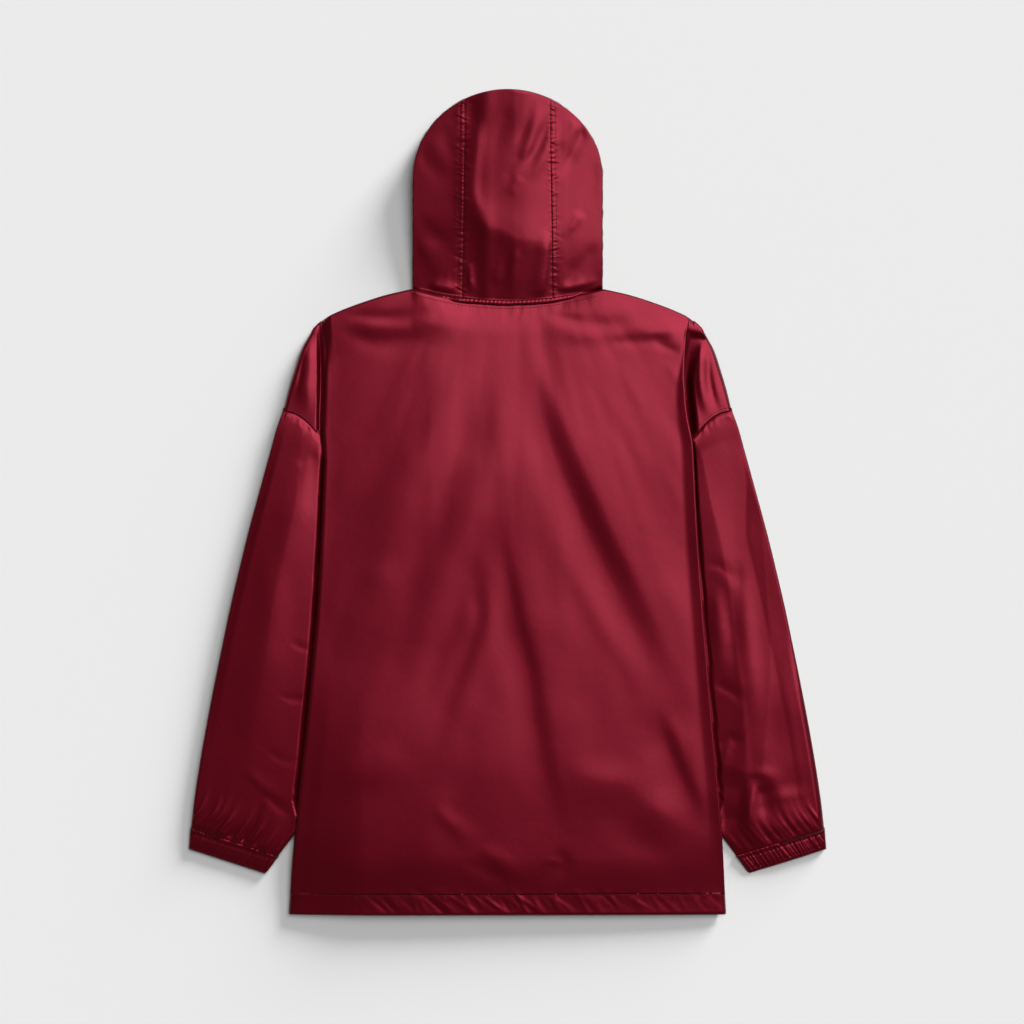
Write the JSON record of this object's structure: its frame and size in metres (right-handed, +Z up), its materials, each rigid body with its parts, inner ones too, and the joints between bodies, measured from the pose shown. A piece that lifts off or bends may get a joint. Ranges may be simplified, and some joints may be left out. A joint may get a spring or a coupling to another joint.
{
  "type": "hooded parka laid flat",
  "caption": "Hooded zip-front parka in thin glossy nylon, laid flat with its back up, sleeves beside the body and elastic cuffs.",
  "frame": {"origin": "on the surface that the parka lies on, under the middle of its bounding box", "axes": "+Z up out of the back, +Y from the hem to the hood, +X to the wearer's right; the middle of the back is X = 0"},
  "size_m": [0.796, 1.0289, 0.0385],
  "materials": {
    "nylon": "thin plain-weave nylon, glossy",
    "tape": "woven zip tape, matt",
    "zip_metal": "dark plated zip metal"
  },
  "bodies": {
    "garment": {"back": "nylon", "front_left": "nylon", "front_right": "nylon", "sleeve_left": "nylon", "sleeve_right": "nylon", "cuff_left": "nylon", "cuff_right": "nylon", "hood_left": "nylon", "hood_center": "nylon", "hood_right": "nylon", "neck_binding": "nylon", "zip_tape_left": "tape", "zip_tape_right": "tape", "zip_chain": "zip_metal", "zip_slider": "zip_metal", "zip_stop_left": "zip_metal", "zip_stop_right": "zip_metal", "zip_box": "zip_metal"},
    "pull": {"zip_pull": "zip_metal"}
  },
  "joints": [
    {"name": "pull_hinge", "type": "hinge", "parent": "garment", "child": "pull", "pos_m": [0, 0.17, 0.002], "axis": [1, 0, 0], "range_deg": [0, 175]}
  ]
}
